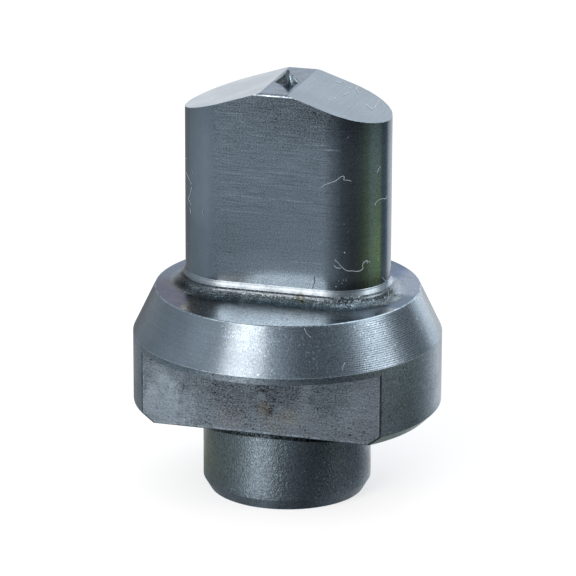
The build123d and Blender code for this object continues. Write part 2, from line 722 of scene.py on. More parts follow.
@dataclass
class Lint:
    """Fibres and dust that cling to the punch."""

    punch: Punch
    name: str
    seats: tuple[Seat, ...]
    threads: Threads
    specks: Specks
    fibre_radius: float = 0.028 * MM
    lift: float = 0.035 * MM

    def place(self, seat: Seat, first: float, second: float) -> Vector:
        """Finds a place just off the steel.

        Args:
            seat: surface that the place is on.
            first: first measure on that surface.
            second: second measure.

        Returns:
            The place.
        """
        head, collar, face_z = self.punch.head, self.punch.collar, self.punch.face_z
        aside, height = abs(first) * MM, Vector((0, 0, second * MM))
        if seat is Seat.ROOF:
            fall = math.tan(math.radians(head.shear_angle)) * max(aside - head.land_width / 2, 0)
            return Vector((first * MM, second * MM, self.punch.land_z - fall + self.lift))
        if seat is Seat.CONE:
            share = (face_z - height.z) / collar.cone_height
            out = collar.face_radius + share * (collar.radius - collar.face_radius) + self.lift
            return out * along(first) + height
        out = self.lift + head.out_at(height.z, face_z)
        bearing = math.copysign(max(aside - head.end_centre, 0) / head.end_radius, first)
        middle = Vector((math.copysign(min(aside, head.end_centre), first), 0, 0))
        return middle + height + out * along(math.degrees(bearing))

    def build(self) -> Object:
        """Adds the threads and specks on its seats as one piece.

        Returns:
            The piece.
        """
        curve = bpy.data.curves.new(self.name, "CURVE")
        curve.dimensions = "3D"
        curve.bevel_depth = self.fibre_radius
        curve.bevel_resolution = 1
        curve.resolution_u = 3
        curve.use_fill_caps = True
        for seat in self.seats:
            for thread in self.threads.get(seat, ()):
                spline = curve.splines.new("NURBS")
                spline.points.add(len(thread) - 1)
                for point, measures in zip(spline.points, thread):
                    point.co = (*self.place(seat, *measures), 1)
                spline.order_u = 3
                spline.use_endpoint_u = True
        strung = bpy.data.objects.new(self.name, curve)
        bm = bmesh.new()
        bm.from_mesh(bpy.data.meshes.new_from_object(strung))
        bpy.data.objects.remove(strung)
        for seat in self.seats:
            for *measures, radius in self.specks.get(seat, ()):
                spot = Matrix.Translation(self.place(seat, *measures))
                bmesh.ops.create_icosphere(bm, subdivisions=1, radius=radius * MM, matrix=spot)
        bmesh.ops.recalc_face_normals(bm, faces=bm.faces)
        for face in bm.faces:
            face.smooth = True
        LOG.info("%s: %d faces", self.name, len(bm.faces))
        piece = stand(self.name, bm)
        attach(piece, BODY)
        return piece


# Finishes


class Wire:
    """Output of a node. Plain arithmetic on it adds further nodes."""

    def __init__(self, graph: "Graph", socket: Socket) -> None:
        """Takes the output and the graph that it belongs to."""
        self.graph, self.socket = graph, socket

    def __add__(self, other: "Value") -> "Wire":
        """Sum."""
        return self.graph.math("ADD", self, other)

    def __sub__(self, other: "Value") -> "Wire":
        """Difference."""
        return self.graph.math("SUBTRACT", self, other)

    def __mul__(self, other: "Value") -> "Wire":
        """Product."""
        return self.graph.math("MULTIPLY", self, other)

    def __truediv__(self, other: "Value") -> "Wire":
        """Quotient."""
        return self.graph.math("DIVIDE", self, other)

    def __abs__(self) -> "Wire":
        """Size without the sign."""
        return self.graph.math("ABSOLUTE", self)

    def ramp(self, low: "Value", high: "Value", to_low: float = 0.0, to_high: float = 1.0) -> "Wire":
        """Eases from one number to another while this value goes from low to high.

        Args:
            low: where the change starts, which may be the larger one.
            high: where it ends.
            to_low: result at the start.
            to_high: result at the end.

        Returns:
            The result.
        """
        node = self.graph.add("ShaderNodeMapRange", interpolation_type="SMOOTHSTEP")
        for socket, item in zip(node.inputs, (self, low, high, to_low, to_high)):
            self.graph.feed(socket, item)
        return Wire(self.graph, node.outputs[0])


Value = Wire | Socket | float | Colour


class Graph:
    """Short calls that add nodes to one node tree and join them."""

    def __init__(self, tree: bpy.types.NodeTree) -> None:
        """Takes the tree to add to."""
        self.tree = tree

    def add(self, kind: str, **settings: object) -> bpy.types.Node:
        """Adds a node.

        Args:
            kind: the node's type name.
            **settings: properties to set on it.

        Returns:
            The node.
        """
        node = self.tree.nodes.new(kind)
        for name, value in settings.items():
            setattr(node, name, value)
        return node

    def feed(self, socket: Socket, value: Value) -> None:
        """Joins a socket to another, or sets its value.

        Args:
            socket: input to feed.
            value: output to take from, number, or colour.
        """
        value = value.socket if isinstance(value, Wire) else value
        if isinstance(value, Socket):
            self.tree.links.new(value, socket)
        elif isinstance(value, tuple) and len(socket.default_value) == 4:
            socket.default_value = (*value, 1)
        else:
            socket.default_value = value

    def math(self, operation: str, *values: Value) -> Wire:
        """Works out a number from one to three others.

        Args:
            operation: name of the operation.
            *values: the numbers.

        Returns:
            The result.
        """
        node = self.add("ShaderNodeMath", operation=operation)
        for socket, value in zip(node.inputs, values):
            self.feed(socket, value)
        return Wire(self, node.outputs[0])

    def largest(self, first: Value, *others: Value) -> Wire:
        """Largest of several numbers."""
        return reduce(lambda one, other: self.math("MAXIMUM", one, other), others, first)

    def combine(self, operation: str, vector: Value, other: Value | None = None) -> Wire:
        """Works on whole vectors, or scales one by a number.

        Args:
            operation: name of the operation.
            vector: the first vector.
            other: the second vector, or the scale.

        Returns:
            The result.
        """
        node = self.add("ShaderNodeVectorMath", operation=operation)
        self.feed(node.inputs[0], vector)
        if other is not None:
            self.feed(node.inputs["Scale" if operation == "SCALE" else 1], other)
        return Wire(self, node.outputs["Value" if operation in ("LENGTH", "DISTANCE") else "Vector"])

    def vector(self, *values: Value) -> Wire:
        """Vector from three numbers.

        Args:
            *values: the numbers.

        Returns:
            The vector.
        """
        node = self.add("ShaderNodeCombineXYZ")
        for socket, value in zip(node.inputs, values):
            self.feed(socket, value)
        return Wire(self, node.outputs[0])

    def parts(self, vector: Value) -> list[Wire]:
        """The three numbers of a vector.

        Args:
            vector: the vector.

        Returns:
            The numbers.
        """
        node = self.add("ShaderNodeSeparateXYZ")
        self.feed(node.inputs[0], vector)
        return [Wire(self, socket) for socket in node.outputs]

    def blend(self, share: Value, first: Value, second: Value) -> Wire:
        """Blends two colours.

        Args:
            share: how much of the second colour shows.
            first: first colour.
            second: second colour.

        Returns:
            The blended colour.
        """
        node = self.add("ShaderNodeMix", data_type="RGBA")
        for place, value in zip(MIX_INPUTS, (share, first, second)):
            self.feed(node.inputs[place], value)
        return Wire(self, node.outputs[MIX_RESULT])

    def noise(self, place: Value, scale: Value, detail: float, roughness: float = 0.5) -> Wire:
        """Adds noise.

        Args:
            place: where to read it.
            scale: lumps per unit.
            detail: number of finer layers.
            roughness: strength of the finer layers.

        Returns:
            The noise, between 0 and 1.
        """
        node = self.add("ShaderNodeTexNoise")
        settings = {"Vector": place, "Scale": scale, "Detail": detail, "Roughness": roughness}
        for name, value in settings.items():
            self.feed(node.inputs[name], value)
        return Wire(self, node.outputs[0])

    def place(self) -> Wire:
        """Place on the object in millimetres."""
        return self.combine("SCALE", self.add("ShaderNodeTexCoord").outputs["Object"], 1 / MM)

    def effect(self, group: bpy.types.NodeTree, **values: Value) -> dict[str, Wire]:
        """Places a shared effect.

        Args:
            group: the effect's node group.
            **values: what its inputs get.

        Returns:
            Its outputs by name.
        """
        node = self.add("ShaderNodeGroup", node_tree=group)
        for name, value in values.items():
            self.feed(node.inputs[name], value)
        return {socket.name: Wire(self, socket) for socket in node.outputs}

    def give(self, **results: Wire) -> bpy.types.NodeTree:
        """Ends a node group.

        Args:
            **results: what its outputs give.

        Returns:
            The group.
        """
        for name in results:
            self.tree.interface.new_socket(name, in_out="OUTPUT", socket_type="NodeSocketFloat")
        out = self.add("NodeGroupOutput")
        for name, wire in results.items():
            self.feed(out.inputs[name], wire)
        return self.tree


def new_group(name: str, *inputs: str) -> tuple[Graph, dict[str, Wire]]:
    """Starts a node group. Its first input, Place, is a vector, and all others are numbers.

    Args:
        name: the group's name.
        *inputs: names of its other inputs.

    Returns:
        The group's graph, and its inputs by name.
    """
    graph = Graph(bpy.data.node_groups.new(name, "ShaderNodeTree"))
    graph.tree.interface.new_socket("Place", in_out="INPUT", socket_type="NodeSocketVector")
    for item in inputs:
        graph.tree.interface.new_socket(item, in_out="INPUT", socket_type="NodeSocketFloat")
    given = graph.add("NodeGroupInput").outputs
    return graph, {item: Wire(graph, given[item]) for item in ("Place", *inputs)}


def new_material(name: str, bare: bool = False) -> tuple[bpy.types.Material, Graph, bpy.types.Node | None]:
    """Starts a material.

    Args:
        name: the material's name.
        bare: whether its node tree starts empty, for a shader of another kind.

    Returns:
        The material, its graph, and its Principled shader unless it is bare.
    """
    material = bpy.data.materials.new(name)
    material.use_nodes = True
    if bare:
        material.node_tree.nodes.clear()
        material.cycles.emission_sampling = "NONE"
    return material, Graph(material.node_tree), material.node_tree.nodes.get("Principled BSDF")


class Effects:
    """Surface effects that several finishes share. Lengths are in millimetres."""

    @cached_property
    def lines(self) -> bpy.types.NodeTree:
        """Fine lines that a tool leaves. Relief swings about 0 across them, and Marks are the boldest.

        Returns:
            The node group.
        """
        graph, given = new_group("tool_lines", "Across", "Pitch", "Run")
        slow = [part / given["Run"] for part in graph.parts(given["Place"])[:2]]
        fast = given["Across"] / given["Pitch"]
        fine = graph.noise(graph.vector(*slow, fast), 1.0, 2.0, 0.7)
        bold = graph.noise(graph.vector(*slow, fast * 0.3 + 31.0), 1.0, 3.0, 0.8)
        return graph.give(Relief=fine - 0.5, Marks=bold.ramp(0.6, 0.74))

    @cached_property
    def grain(self) -> bpy.types.NodeTree:
        """Grain of steel. Relief swings about 0, Pits are small dark spots and Flecks small bright ones.

        Returns:
            The node group.
        """
        graph, given = new_group("steel_grain", "Size")
        scale = graph.math("DIVIDE", 1.0, given["Size"])
        results = {"Relief": graph.noise(given["Place"], scale, 2.0, 0.6) - 0.5}
        for name, shift, limit in (("Pits", 13.0, 0.66), ("Flecks", 57.0, 0.69)):
            elsewhere = graph.combine("ADD", given["Place"], (shift, 2 * shift, -shift))
            spots, crowds = (graph.noise(elsewhere, scale * share, 1.0) for share in (0.6, 0.06))
            results[name] = ((crowds - 0.5) * 0.35 + spots).ramp(limit, limit + 0.07)
        return graph.give(**results)

    @cached_property
    def mottle(self) -> bpy.types.NodeTree:
        """Slow change of tone over the surface, from 0 to 1.

        Returns:
            The node group.
        """
        graph, given = new_group("mottle", "Size")
        tone = graph.noise(given["Place"], graph.math("DIVIDE", 1.0, given["Size"]), 4.0, 0.55)
        return graph.give(Tone=tone.ramp(0.3, 0.7))

    @cached_property
    def scratch(self) -> bpy.types.NodeTree:
        """One level scratch, broken here and there, as a mask.

        Returns:
            The node group.
        """
        graph, given = new_group("level_scratch", "Level", "Start", "End", "Width")
        place, width = given["Place"], given["Width"]
        x, _, z = graph.parts(place)
        sag = graph.noise(place, 0.4, 1.0) * 0.12 + given["Level"]
        line = abs(z - sag).ramp(width * 0.4, width, 1.0, 0.0)
        ends = (x - given["Start"]).ramp(0.0, 0.8) * (given["End"] - x).ramp(0.0, 0.8)
        broken = graph.noise(place, 1.7, 3.0, 0.7).ramp(0.38, 0.6)
        return graph.give(Mask=line * ends * broken)

    @cached_property
    def patch(self) -> bpy.types.NodeTree:
        """Soft round patch with a ragged rim, as a mask.

        Returns:
            The node group.
        """
        graph, given = new_group("soft_patch", "X", "Y", "Z", "Radius")
        middle = graph.vector(given["X"], given["Y"], given["Z"])
        reach = graph.combine("DISTANCE", given["Place"], middle) / given["Radius"]
        ragged = (graph.noise(given["Place"], 0.9, 4.0, 0.65) - 0.5) * 2.0
        return graph.give(Mask=(ragged + reach).ramp(0.3, 1.1, 1.0, 0.0))


@dataclass
class Surface:
    """What a finish has worked out so far. Lengths are in millimetres."""

    graph: Graph
    effects: Effects
    place: Wire
    colour: Value
    gain: Value = 1.0
    relief: Value = 0.0
    measures: dict[str, Wire] = field(default_factory=dict)

    def __post_init__(self) -> None:
        """Splits the place into its parts."""
        self.x, self.y, self.z = self.graph.parts(self.place)

    def bearing(self) -> Wire:
        """Degrees round the axis from the front."""
        return self.graph.math("ARCTAN2", self.x, self.y * -1.0) * (180 / math.pi)

    def lighten(self, mask: Value, share: float) -> None:
        """Lightens the steel under a mask, or darkens it where the share is below 0."""
        self.gain = self.graph.math("MULTIPLY_ADD", mask, share, self.gain)

    def raise_up(self, mask: Value, depth: float) -> None:
        """Raises the steel under a mask, or lowers it where the depth is below 0."""
        self.relief = self.graph.math("MULTIPLY_ADD", mask, depth, self.relief)

    def tint(self, mask: Value, colour: Colour) -> None:
        """Turns the steel towards a colour under a mask."""
        self.colour = self.graph.blend(mask, self.colour, colour)

    def mask(self, *eases: "Ease") -> Wire:
        """Product of one or more changes."""
        steps = [self.measures[e.measure].ramp(e.start, e.end, e.before, e.after) for e in eases]
        return reduce(mul, steps)


@dataclass(frozen=True)
class Ease:
    """Change along one measure of a surface, from before its start to after its end."""

    measure: str
    start: float
    end: float
    before: float = 0.0
    after: float = 1.0


@dataclass(frozen=True)
class Noise:
    """Noise that an ease can follow, alone or added to another measure to make its change ragged."""

    name: str
    scale: float
    detail: float
    roughness: float = 0.5
    reach: float = 1.0
    along: str = ""  # measure that it is added to
    shift: Triple = (0, 0, 0)


@dataclass(frozen=True)
class Area:
    """Part of a surface with a tone or colour of its own: there all of its eases are past their ends."""

    eases: tuple[Ease, ...]
    gain: float = 0.0
    colour: Colour | None = None


@dataclass(frozen=True)
class SteelFinish:
    """Bare steel as one tool left it. Lengths are in millimetres."""

    name: str
    colour: Colour
    shade: Colour
    roughness: float
    lay: Lay = Lay.LEVEL
    pitch: float = 0.14
    run: float = 30
    line_gain: float = 0.5
    line_depth: float = 0.001
    grain_size: float = 0.15
    grain_gain: float = 1.5
    grain_depth: float = 0.001
    grain_stretch: Triple = (1, 1, 1)
    mark_gain: float = 0.0
    pit_gain: float = 0.0
    fleck_gain: float = 0.0
    uneven: float = 0.03  # how much the roughness changes from place to place
    blur_across: float = 0.0  # how much further reflections spread across the tool's lines
    blur_turn: float = 0.25  # the way that they spread, as a share of a whole turn
    mottle_size: float = 3
    noises: tuple[Noise, ...] = ()

    def dress(self, effects: Effects) -> bpy.types.Material:
        """Builds the material.

        Args:
            effects: the shared effects.

        Returns:
            The material.
        """
        material, graph, shader = new_material(self.name)
        place = graph.place()
        tone = graph.effect(effects.mottle, Place=place, Size=self.mottle_size)["Tone"]
        surface = Surface(graph, effects, place, graph.blend(tone, self.shade, self.colour))
        surface.measures = self.measures(surface)
        self.cut(surface)
        self.details(surface)
        bump = graph.add("ShaderNodeBump")
        graph.feed(bump.inputs["Distance"], MM)
        graph.feed(bump.inputs["Height"], surface.relief)
        high, low = self.roughness + self.uneven, self.roughness - self.uneven
        for name, value in {
            "Metallic": 1.0,
            "Anisotropic": self.blur_across,
            "Anisotropic Rotation": self.blur_turn,
            "Base Color": graph.combine("SCALE", surface.colour, surface.gain),
            "Roughness": tone.ramp(0.0, 1.0, high, low),
            "Normal": bump.outputs[0],
        }.items():
            graph.feed(shader.inputs[name], value)
        if self.blur_across:
            tangent = graph.add("ShaderNodeTangent", direction_type="RADIAL", axis="Z")
            graph.feed(shader.inputs["Tangent"], tangent.outputs[0])
        return material

    def across(self, surface: Surface) -> Wire:
        """Distance across the tool's lines.

        Args:
            surface: surface to measure on.

        Returns:
            The distance in millimetres.
        """
        if self.lay is Lay.RINGS:
            return surface.graph.math("SQRT", surface.x * surface.x + surface.y * surface.y)
        return surface.z if self.lay is Lay.LEVEL else surface.x

    def shares(self, surface: Surface) -> tuple[Value, Value]:
        """How strongly the lines and the grain show. On plain steel both show everywhere."""
        return 1.0, 1.0

    def measures(self, surface: Surface) -> dict[str, Wire]:
        """What eases can follow: the place, and the noises of the finish.

        Args:
            surface: surface to measure on.

        Returns:
            The measures by name.
        """
        found = {"x": surface.x, "y": surface.y, "z": surface.z, "aside": abs(surface.x)}
        for noise in self.noises:
            place = surface.graph.combine("ADD", surface.place, noise.shift)
            swing = surface.graph.noise(place, noise.scale, noise.detail, noise.roughness) * noise.reach
            found[noise.name] = swing + found[noise.along] if noise.along else swing
        return found

    def areas(self) -> tuple[Area, ...]:
        """Areas of other tone or colour. Plain steel has none."""
        return ()

    def cut(self, surface: Surface) -> None:
        """Adds the tool's lines and the grain.

        Args:
            surface: surface to work on.
        """
        graph, effects = surface.graph, surface.effects
        line_share, grain_share = self.shares(surface)
        lines = graph.effect(
            effects.lines, Place=surface.place, Across=self.across(surface), Pitch=self.pitch, Run=self.run
        )
        stretched = graph.combine("MULTIPLY", surface.place, self.grain_stretch)
        grain = graph.effect(effects.grain, Place=stretched, Size=self.grain_size)
        for relief, share, gain, depth in (
            (lines["Relief"], line_share, self.line_gain, self.line_depth),
            (grain["Relief"], grain_share, self.grain_gain, self.grain_depth),
        ):
            swing = relief * share
            surface.lighten(swing, gain)
            surface.raise_up(swing, depth)
        for mask, share, gain in (
            (lines["Marks"], line_share, self.mark_gain),
            (grain["Pits"], grain_share, -self.pit_gain),
            (grain["Flecks"], grain_share, self.fleck_gain),
        ):
            if gain:
                surface.lighten(mask * share, gain)

    def details(self, surface: Surface) -> None:
        """Adds the areas that differ from the rest.

        Args:
            surface: surface to work on.
        """
        for area in self.areas():
            if not (area.colour or area.gain):
                continue
            mask = surface.mask(*area.eases)
            if area.colour:
                surface.tint(mask, area.colour)
            if area.gain:
                surface.lighten(mask, area.gain)


@dataclass(frozen=True)
class Scratch:
    """Level scratch on the front wall, in millimetres."""

    level: float
    start: float
    end: float
    width: float
    gain: float


@dataclass(frozen=True)
class WallFinish(SteelFinish):
    """Side walls of the head: ground on the flat sides, smooth on the round ends."""

    flat: Ease = Ease("ragged_aside", 5.4, 8.0, 1.0, 0.0)
    lined: Ease = Ease("ragged_up", 31.0, 32.0, 0.5)
    grained: Ease = Ease("ragged_up", 35.4, 39.9, 0.75)
    right: Ease = Ease("x", 5.0, 7.0, 0.0, 0.45)
    right_grain: float = 0.15  # further grain on the right
    noises: tuple[Noise, ...] = (
        Noise("ragged_aside", 0.7, 3.0, reach=0.8, along="aside"),
        Noise("ragged_up", 0.7, 3.0, reach=0.8, along="z"),
        Noise("cloudy_aside", 0.5, 4.0, 0.6, reach=1.5, along="aside"),
        Noise("cloudy_up", 0.5, 4.0, 0.6, reach=2.0, along="z"),
    )
    scratches: tuple[Scratch, ...] = (
        Scratch(38.14, 5.2, 7.4, 0.1, 1.1),
        Scratch(38.6, 3.9, 6.2, 0.07, 0.4),
        Scratch(35.3, -4.6, 5.0, 0.06, 0.25),
        Scratch(34.9, -5.6, 1.2, 0.07, 0.3),
        Scratch(33.9, -3.5, 4.2, 0.06, 0.28),
        Scratch(32.5, -5.8, 4.6, 0.08, 0.45),
        Scratch(30.88, -6.0, 2.4, 0.08, 0.42),
        Scratch(26.08, 1.6, 5.8, 0.08, 0.45),
        Scratch(24.7, -2.0, 5.0, 0.06, 0.2),
    )

    def shares(self, surface: Surface) -> tuple[Value, Value]:
        """Lines and grain show on the flat sides, strongest above the middle.

        Args:
            surface: surface to work on.

        Returns:
            Strength of the lines and of the grain.
        """
        largest, right = surface.graph.largest, surface.mask(self.right)
        lines, grain = surface.mask(self.flat, self.lined), surface.mask(self.flat, self.grained)
        return largest(lines, right), largest(grain, right + self.right_grain)

    def areas(self) -> tuple[Area, ...]:
        """Pale foot, a painted reflection of the collar's top face, darker middle and peak, and the dark
        line over the root.

        Returns:
            The areas.
        """
        return (
            # Painted reflection: the foot of the flat sides is lightened where the wall mirrors the
            # collar's top face.
            Area((Ease("cloudy_up", 28.8, 26.3), Ease("cloudy_aside", 7.6, 5.4)), 0.2),
            Area((Ease("z", 32.0, 28.0), Ease("x", -5.5, 1.0, -1.0, 0.3)), 0.15),
            Area((Ease("cloudy_up", 37.5, 43.5), Ease("x", -5.0, 6.0, 0.18, 0.46)), -1.0),
            Area((Ease("z", 25.0, 23.6), Ease("x", -6.0, -3.5)), -0.5),
        )

    def details(self, surface: Surface) -> None:
        """Adds the scratches on the front before the areas.

        Args:
            surface: surface to work on.
        """
        front = surface.graph.math("LESS_THAN", surface.y, 0.0)
        for scratch in self.scratches:
            given = {name.title(): value for name, value in vars(scratch).items() if name != "gain"}
            mask = surface.graph.effect(surface.effects.scratch, Place=surface.place, **given)["Mask"]
            surface.lighten(mask * front, scratch.gain)
        super().details(surface)


@dataclass(frozen=True)
class ConeFinish(SteelFinish):
    """Turned cone: even grooves that show where the side light crosses them."""

    groove_pitch: float = 0.2
    groove_gain: float = 0.4
    groove_depth: float = 0.004
    grained: Ease = Ease("x", -6.0, 4.0, 0.42, 1.4)
    lit: tuple[Ease, ...] = (Ease("x", 8.5, 12.0), Ease("y", -2.0, -6.0))
    faint: Ease = Ease("patches", 0.4, 0.7, 0.0, 0.25)
    broken: Ease = Ease("breaks", 0.3, 0.55, 0.4, 1.1)
    noises: tuple[Noise, ...] = (Noise("patches", 0.12, 3.0, 0.6), Noise("breaks", 2.2, 2.0, 0.6))

    def shares(self, surface: Surface) -> tuple[Value, Value]:
        """Grain shows least on the left and most on the right."""
        return 1.0, surface.mask(self.grained)

    def details(self, surface: Surface) -> None:
        """Adds the grooves.

        Args:
            surface: surface to work on.
        """
        graph = surface.graph
        turns = graph.math("ARCTAN2", surface.x, surface.y) / math.tau
        wave = graph.math("SINE", (surface.z / self.groove_pitch + turns) * math.tau)
        # The grooves are also painted into the colour as light and dark stripes, strongest where the side
        # light falls: painted light and shade.
        seen = graph.largest(surface.mask(self.faint), surface.mask(*self.lit))
        groove = wave * seen * surface.mask(self.broken)
        surface.lighten(groove, self.groove_gain)
        surface.raise_up(groove, self.groove_depth)


@dataclass(frozen=True)
class EdgeFinish(SteelFinish):
    """Edges worn bright, with painted highlights most of all on the right of the collar's top edge, and
    painted light on the chamfer under the collar.
    """

    dotted: Ease = Ease("off_front", 24.0, 38.0, 1.0, 0.3)
    # Painted reflection colour of the chamfer under the collar.
    chamfer: Colour = (0.42, 0.8, 0.85)

    def shares(self, surface: Surface) -> tuple[Value, Value]:
        """Wear is dotted in front and even elsewhere."""
        return 1.0, surface.mask(self.dotted)

    def measures(self, surface: Surface) -> dict[str, Wire]:
        """Adds the bearing in degrees from the front, with its sign and without."""
        bearing = surface.bearing()
        return super().measures(surface) | {"bearing": bearing, "off_front": abs(bearing)}

    def areas(self) -> tuple[Area, ...]:
        """Bright, dull and sparkling parts of the collar's top edge, which are painted highlights, and the
        bright lower edges with the chamfer's colour, which are painted light and a painted reflection.

        Returns:
            The areas.
        """
        top, low = (Ease("z", 21.0, 21.4), Ease("z", 22.4, 22.0)), Ease("z", 11.0, 10.6)
        return (
            # Painted highlights along the collar's top edge, then painted light on the lower edges.
            Area((*top, Ease("bearing", 30.0, 40.0), Ease("bearing", 82.0, 67.0)), 0.6),
            Area((*top, Ease("bearing", 2.0, 10.0), Ease("bearing", 34.0, 28.0)), -0.4),
            Area((*top, Ease("bearing", -24.0, -18.0), Ease("bearing", 5.0, 0.0)), 0.7),
            Area((low,), 1.0),
            Area((low, Ease("z", 8.68, 8.72)), colour=self.chamfer),
        )


@dataclass(frozen=True)
class NibFinish(SteelFinish):
    """Nib ground by hand, with strokes that run down its flank, and painted highlights in bright streaks.
    """

    strokes: float = 2.4
    stroke_detail: float = 2.0
    stroke_roughness: float = 0.65
    stroke_gain: float = 2.0
    stroke_depth: float = 0.08
    stroke_shift: Triple = (4.0, 7.0, 0.0)
    broken: Ease = Ease("breaks", 0.35, 0.55)
    noises: tuple[Noise, ...] = (Noise("breaks", 4.0, 2.0),)
    # Painted highlights: bright streaks down the flank.
    streaks: tuple[Triple, ...] = (  # each with its bearing, half width and gain
        (-63, 9, 3.0),
        (-16, 32, 1.8),
        (33, 11, 3.2),
        (66, 9, 3.8),
    )

    def details(self, surface: Surface) -> None:
        """Adds the strokes, which keep their place round the axis all the way down, and painted highlights
        as bright streaks.

        Args:
            surface: surface to work on.
        """
        graph, bearing = surface.graph, surface.bearing()
        outward = graph.combine("NORMALIZE", graph.vector(surface.x, surface.y, 0.0))
        place = graph.combine("ADD", outward, self.stroke_shift)
        swing = graph.noise(place, self.strokes, self.stroke_detail, self.stroke_roughness) - 0.5
        surface.lighten(swing, self.stroke_gain)
        surface.raise_up(swing, self.stroke_depth)
        broken = surface.mask(self.broken)
        for middle, half_width, gain in self.streaks:
            streak = abs(bearing - middle).ramp(half_width, 0.0)
            surface.lighten(streak * broken, gain)


@dataclass(frozen=True)
class StubFinish(SteelFinish):
    """Ground stub, with the collar's shadow painted as a dark band in the corner under it, and darker on
    the right.
    """

    corner: float = 7.95  # lowest height of the painted shadow in front
    sag: float = 0.018

    def measures(self, surface: Surface) -> dict[str, Wire]:
        """Adds a height that grows towards both sides, where the painted shadow reaches deeper."""
        return super().measures(surface) | {"up": surface.x * surface.x * self.sag + surface.z}

    def areas(self) -> tuple[Area, ...]:
        """Painted shadow under the collar, and the darker right side."""
        # Painted shadow: a dark band on the stub just below the collar, where the collar's underside shades
        # it.
        collar_shadow = Ease("up", self.corner - 0.06, self.corner + 0.02)
        return Area((collar_shadow,), -0.75), Area((Ease("x", 3.0, 6.5),), -0.18)


@dataclass(frozen=True)
class FaceFinish(SteelFinish):
    """Collar's top face: turned, dull behind the head, with a painted reflection of the root's bright band
    in plain grey in front of it, and painted shade by the root.
    """

    # Painted reflection of the root's bright band, in plain grey, on the face in front of the head.
    rubbed: Colour = (0.44, 0.49, 0.53)
    # Painted shade at the root's left end in front.
    left_front: Colour = (0.0, 0.01, 0.055)
    dark_front: Colour = (0.15, 0.15, 0.145)
    right_back: Colour = (0.125, 0.165, 0.235)
    # Painted shade at the root's right end in front.
    right_front: Colour = (0.03, 0.068, 0.12)
    corner: Colour = (0.14, 0.165, 0.185)
    mark: tuple[Point, Point] = ((9.2, 7.1), (11.8, 5.65))
    head_end: float = 5.25  # distance of the middle of the head's round end from the axis
    noises: tuple[Noise, ...] = (
        Noise("ragged", 1.2, 4.0, 0.6, reach=1.6, along="x"),
        Noise("specks", 4.0, 1.0),
        Noise("pits", 1.9, 2.0, 0.6, shift=(5, 1, 3)),
    )

    def measures(self, surface: Surface) -> dict[str, Wire]:
        """Adds distances from the head's round ends, and the way along and off the mark.

        Args:
            surface: surface to measure on.

        Returns:
            The measures by name.
        """
        graph, (start, end) = surface.graph, map(Vector, self.mark)
        step, (gone_x, gone_y) = end - start, (surface.x - start.x, surface.y - start.y)
        outward = abs(surface.x) - self.head_end
        return super().measures(surface) | {
            "outward": outward,
            "from_end": graph.combine("LENGTH", graph.vector(outward, surface.y, 0.0)),
            "along_mark": (gone_x * step.x + gone_y * step.y) / step.length_squared,
            "off_mark": abs(gone_x * step.y - gone_y * step.x) / step.length,
        }

    def areas(self) -> tuple[Area, ...]:
        """Tones of the ends and of the front, the painted reflection in front, painted shade along the
        border by the root and at the root's ends in front, and the thin dark mark.

        Returns:
            The areas.
        """
        right, dark = Ease("x", 9.8, 11.2), (Ease("x", -3.5, -5.5), Ease("y", -2.0, -4.5))
        inside = (Ease("ragged", -7.5, -4.5), Ease("ragged", 10.0, 7.6))
        mark = (Ease("along_mark", 0.0, 0.9), Ease("along_mark", 1.0, 0.9), Ease("off_mark", 0.3, 0.08))
        return (
            Area((Ease("x", 6.5, 8.0), Ease("y", -3.5, -5.0)), colour=self.corner),
            # Painted reflection in front of the head.
            Area((Ease("y", -4.5, -7.5), *inside), colour=self.rubbed),
            Area((right, Ease("y", -1.2, 0.8)), colour=self.right_back),
            Area((right, Ease("y", 0.8, -1.2), Ease("y", -5.0, -3.5)), colour=self.right_front),
            Area((Ease("x", 7.5, 10.0),), 0.55),
            Area(dark, colour=self.dark_front),
            Area((Ease("x", -7.7, -8.7), Ease("y", 0.5, -3.5)), colour=self.left_front),
            Area((Ease("specks", 0.6, 0.68), *dark), 1.6),
            Area((Ease("pits", 0.6, 0.66), Ease("x", -8.0, -9.5)), -0.5),
            # Painted shade along the border by the root, in front of each end.
            Area((Ease("from_end", 7.9, 7.05), Ease("outward", 2.5, 4.0), Ease("y", -0.6, -2.2)), -0.6),
            Area(mark, -0.5),
        )


